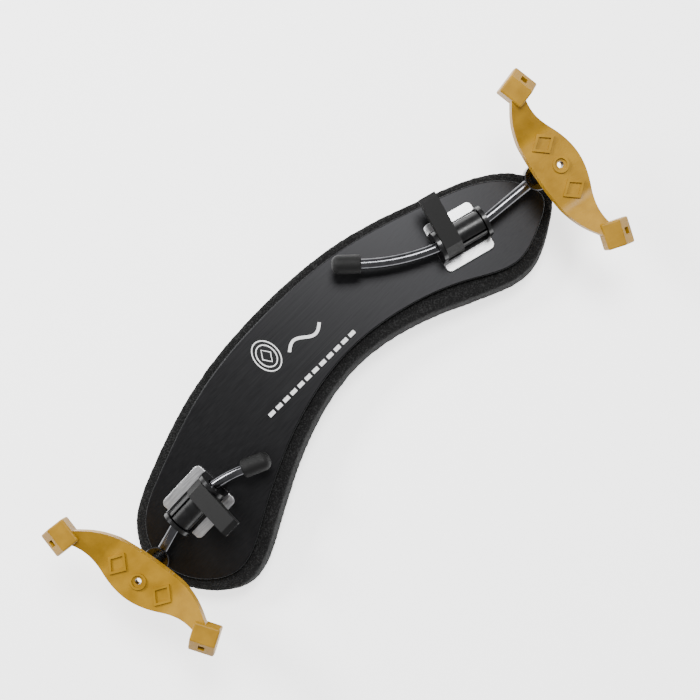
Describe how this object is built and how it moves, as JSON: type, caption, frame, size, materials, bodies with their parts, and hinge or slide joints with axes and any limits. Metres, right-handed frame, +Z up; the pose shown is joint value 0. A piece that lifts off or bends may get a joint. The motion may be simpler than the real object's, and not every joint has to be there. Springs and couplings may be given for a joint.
{
  "type": "violin shoulder rest",
  "caption": "Curved padded plate with a sliding rod clamp at each end, each carrying a threaded post and a rubber-covered fork.",
  "frame": {"origin": "centre of the bounding box at the floor the pad stands on", "axes": "+X along the rest to the end with the longer rod, +Y towards the convex edge, +Z up towards the violin"},
  "size_m": [0.237, 0.0796, 0.0524],
  "materials": {
    "foam": "open-cell black foam rubber",
    "black_anodised": "brushed, black anodised",
    "bright_steel": "bright zinc-plated",
    "black_steel": "black plated, semi-gloss",
    "black_nylon": "gloss black moulded nylon",
    "black_plastic": "satin black moulded plastic",
    "black_chrome": "black chrome",
    "black_rubber": "matte black rubber",
    "ochre_rubber": "satin ochre moulded rubber"
  },
  "bodies": {
    "rest_base": {"foam_pad": "foam", "support_plate": "black_anodised", "right_base_plate": "bright_steel", "right_saddle": "black_steel", "right_rivets": "bright_steel", "left_base_plate": "bright_steel", "left_saddle": "black_steel", "left_rivets": "bright_steel"},
    "right_lever": {"right_clamp_lever": "black_plastic"},
    "right_sleeve": {"right_clamp_sleeve": "black_nylon"},
    "right_rod": {"right_rod": "black_chrome", "right_rod_cap": "black_rubber", "right_rod_eye": "black_steel"},
    "right_post": {"right_post": "black_steel"},
    "right_fork": {"right_fork_core": "black_steel", "right_fork_cover": "ochre_rubber", "right_foot_outer": "ochre_rubber", "right_foot_inner": "ochre_rubber"},
    "left_lever": {"left_clamp_lever": "black_plastic"},
    "left_sleeve": {"left_clamp_sleeve": "black_nylon"},
    "left_rod": {"left_rod": "black_chrome", "left_rod_cap": "black_rubber", "left_rod_eye": "black_steel"},
    "left_post": {"left_post": "black_steel"},
    "left_fork": {"left_fork_core": "black_steel", "left_fork_cover": "ochre_rubber", "left_foot_outer": "ochre_rubber", "left_foot_inner": "ochre_rubber"}
  },
  "joints": [
    {"name": "right_lever_swing", "type": "hinge", "parent": "rest_base", "child": "right_lever", "pos_m": [0.0652, 0.00583, 0.02505], "axis": [0.9648, -0.2538, -0.0693], "range_deg": [0, 95]},
    {"name": "right_rod_tilt", "type": "hinge", "parent": "rest_base", "child": "right_sleeve", "pos_m": [0.0652, 0.00583, 0.02505], "axis": [0.9648, -0.2538, -0.0693], "range_deg": [-8, 12]},
    {"name": "right_rod_slide", "type": "hinge", "parent": "right_sleeve", "child": "right_rod", "pos_m": [0.0859, 0.08192, 0.03465], "axis": [0.0357, -0.1346, 0.9903], "range_deg": [0, 14]},
    {"name": "right_post_height", "type": "slide", "parent": "right_rod", "child": "right_post", "axis": [0.0357, -0.1346, 0.9903], "range_m": [0, 0.004]},
    {"name": "right_fork_swivel", "type": "hinge", "parent": "right_post", "child": "right_fork", "pos_m": [0.09964, 0.00094, 0.02314], "axis": [0.0357, -0.1346, 0.9903], "range_deg": [-15, 15]},
    {"name": "left_lever_swing", "type": "hinge", "parent": "rest_base", "child": "left_lever", "pos_m": [-0.07383, 0.00463, 0.02437], "axis": [-0.9962, -0.0297, -0.0814], "range_deg": [-9, 86]},
    {"name": "left_rod_tilt", "type": "hinge", "parent": "rest_base", "child": "left_sleeve", "pos_m": [-0.07383, 0.00463, 0.02437], "axis": [-0.9962, -0.0297, -0.0814], "range_deg": [0, 20]},
    {"name": "left_rod_slide", "type": "hinge", "parent": "left_sleeve", "child": "left_rod", "pos_m": [-0.07232, -0.04648, 0.02449], "axis": [-0.0814, 0, 0.9967], "range_deg": [0, 9]},
    {"name": "left_post_height", "type": "slide", "parent": "left_rod", "child": "left_post", "axis": [-0.0814, 0, 0.9967], "range_m": [0, 0.004]},
    {"name": "left_fork_swivel", "type": "hinge", "parent": "left_post", "child": "left_fork", "pos_m": [-0.09823, 0.00038, 0.02238], "axis": [-0.0814, 0, 0.9967], "range_deg": [-15, 15]}
  ]
}
